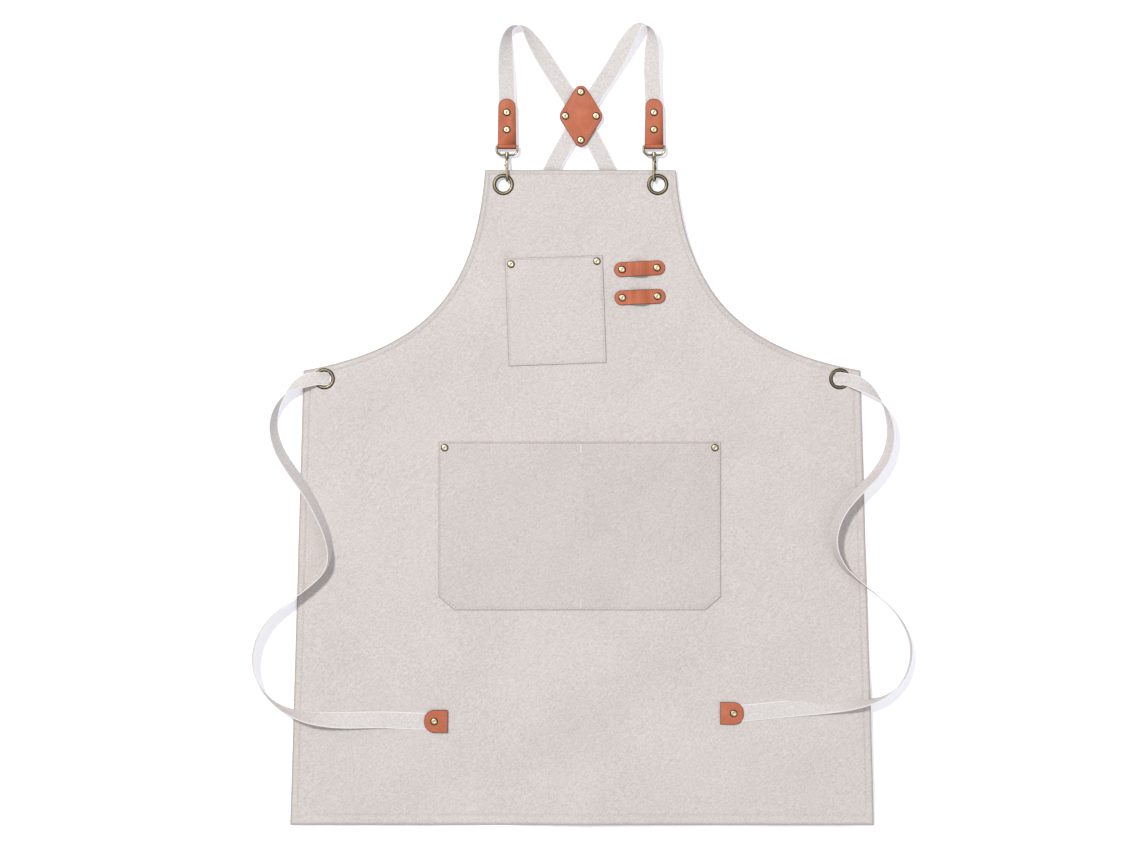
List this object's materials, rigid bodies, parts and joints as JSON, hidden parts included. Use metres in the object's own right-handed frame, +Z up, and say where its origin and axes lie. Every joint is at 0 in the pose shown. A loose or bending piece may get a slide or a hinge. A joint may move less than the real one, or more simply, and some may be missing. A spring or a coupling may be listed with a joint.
{
  "type": "work apron",
  "caption": "Canvas bib apron laid flat, with crossed shoulder straps on swivel snap hooks, patch pockets, leather tool loops and long waist ties.",
  "frame": {"origin": "bottom centre of the laid-out apron, on the surface that it lies on, without its loose ties", "axes": "+Z up out of the face of the apron, +Y from the hem to the shoulder straps, +X to the right as the face is looked at"},
  "size_m": [0.793, 0.9631, 0.0234],
  "materials": {
    "canvas": "plain-weave cotton canvas, undyed greige, matt, with faint flecks",
    "webbing": "woven cotton webbing, off-white, matt",
    "leather": "smooth tan leather, satin, darker burnished edges",
    "brass": "antique brass, bright on its high spots and dark in its hollows",
    "spring_steel": "bright spring wire"
  },
  "bodies": {
    "apron": {"apron_panel": "canvas", "chest_pocket": "canvas", "hand_pocket": "canvas", "pocket_rivet_caps": "brass", "pocket_rivet_posts": "brass", "upper_tool_loop": "leather", "lower_tool_loop": "leather", "tool_loop_rivet_caps": "brass", "tool_loop_rivet_posts": "brass", "left_bib_eyelet": "brass", "left_bib_eyelet_washer": "brass", "left_waist_eyelet": "brass", "left_waist_eyelet_washer": "brass", "left_bail": "brass", "left_back_webbing": "webbing", "left_tie": "webbing", "left_tie_tip": "leather", "left_tie_tip_rivet": "brass", "right_bib_eyelet": "brass", "right_bib_eyelet_washer": "brass", "right_waist_eyelet": "brass", "right_waist_eyelet_washer": "brass", "right_bail": "brass", "right_back_webbing": "webbing", "right_tie": "webbing", "right_tie_tip": "leather", "right_tie_tip_rivet": "brass"},
    "shoulder_straps": {"shoulder_tab_rivet_caps": "brass", "shoulder_tab_rivet_posts": "brass", "cross_patch_back": "leather", "cross_patch_front": "leather", "cross_patch_rivet_caps": "brass", "cross_patch_rivet_posts": "brass", "left_shoulder_tab": "leather", "left_shoulder_webbing": "webbing", "right_shoulder_tab": "leather", "right_shoulder_webbing": "webbing"},
    "left_hook_swivel": {"left_hook": "brass", "left_hook_gate_pin": "brass", "left_hook_gate_spring": "spring_steel"},
    "left_gate_lever": {"left_hook_gate": "brass"},
    "right_hook_swivel": {"right_hook": "brass", "right_hook_gate_pin": "brass", "right_hook_gate_spring": "spring_steel"},
    "right_gate_lever": {"right_hook_gate": "brass"}
  },
  "joints": [
    {"name": "strap_fold", "type": "hinge", "parent": "apron", "child": "shoulder_straps", "pos_m": [0, 0.332, 0.007], "axis": [1, 0, 0], "range_deg": [0, 120]},
    {"name": "left_swivel", "type": "hinge", "parent": "apron", "child": "left_hook_swivel", "pos_m": [-0.0899, 0.322, 0.007], "axis": [0, 1, 0], "range_deg": [-2, 20]},
    {"name": "left_gate", "type": "hinge", "parent": "left_hook_swivel", "child": "left_gate_lever", "pos_m": [-0.09015, 0.3137, 0.00341], "axis": [-0.9976, 0, 0.0698], "range_deg": [0, 35], "stiffness_Nm_per_rad": 0.0005, "springref_deg": -20.05},
    {"name": "right_swivel", "type": "hinge", "parent": "apron", "child": "right_hook_swivel", "pos_m": [0.0862, 0.322, 0.007], "axis": [0, 1, 0], "range_deg": [-12, 12]},
    {"name": "right_gate", "type": "hinge", "parent": "right_hook_swivel", "child": "right_gate_lever", "pos_m": [0.08707, 0.3137, 0.00351], "axis": [-0.9703, 0, -0.2419], "range_deg": [0, 35], "stiffness_Nm_per_rad": 0.0005, "springref_deg": -20.05}
  ]
}
